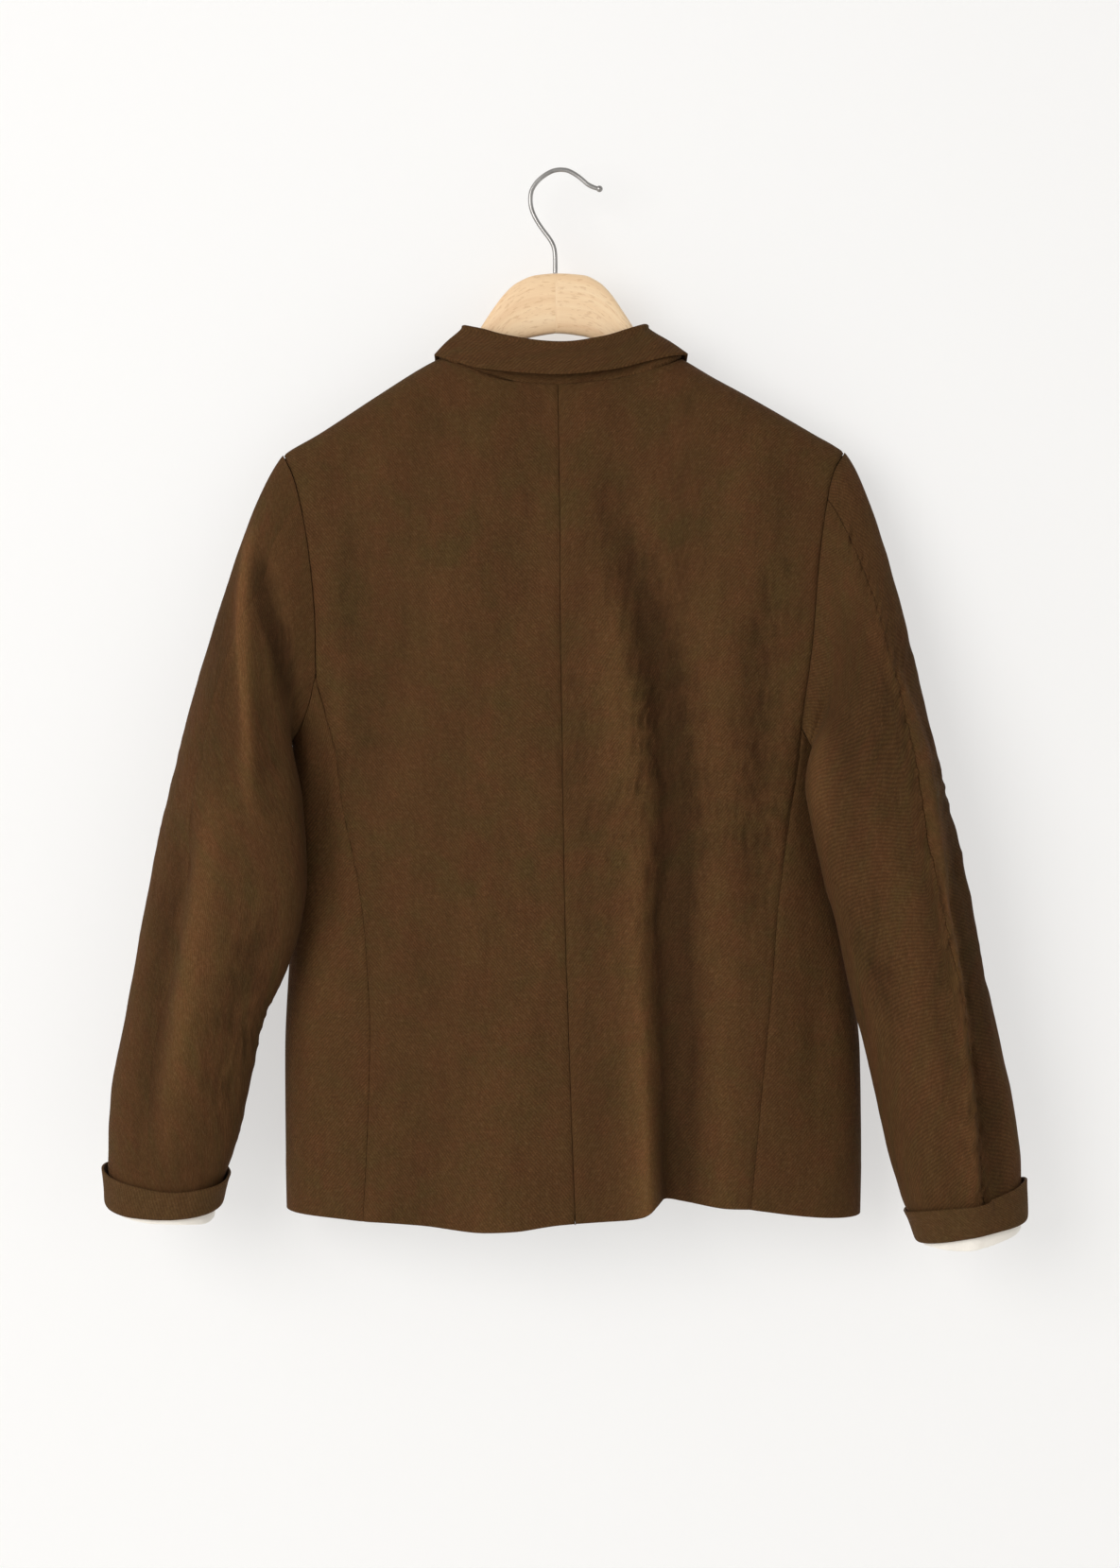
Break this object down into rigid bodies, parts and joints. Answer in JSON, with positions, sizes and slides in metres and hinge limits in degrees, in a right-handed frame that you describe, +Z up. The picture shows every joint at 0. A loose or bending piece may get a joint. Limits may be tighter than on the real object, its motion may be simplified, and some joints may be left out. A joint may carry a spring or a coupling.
{
  "type": "military jacket on a hanger",
  "caption": "Plain olive-brown twill jacket with a fold-over collar, side-body seams and turned-up cuffs, hung closed on a wooden hanger with a wire hook.",
  "frame": {"origin": "underside of the top of the hook's arch, where the hook bears on its peg", "axes": "+Z up; +Y from the jacket's back towards its front; +X towards the wearer's right side"},
  "size_m": [0.7084, 0.1272, 0.8426],
  "materials": {
    "twill": "matte",
    "lining": "satin",
    "beech": "satin",
    "hook_steel": "satin",
    "button": "matte"
  },
  "bodies": {
    "root": {"back_left": "twill", "back_right": "twill", "side_left": "twill", "side_right": "twill", "front_left": "twill", "front_right": "twill", "collar": "twill", "sleeve_left_top": "twill", "sleeve_left_under": "twill", "sleeve_right_top": "twill", "sleeve_right_under": "twill", "cuff_left": "twill", "cuff_right": "twill", "lining_left": "lining", "lining_right": "lining", "hanger": "beech", "hook": "hook_steel", "button_1": "button", "button_2": "button", "button_3": "button", "button_4": "button", "button_5": "button"}
  },
  "joints": []
}
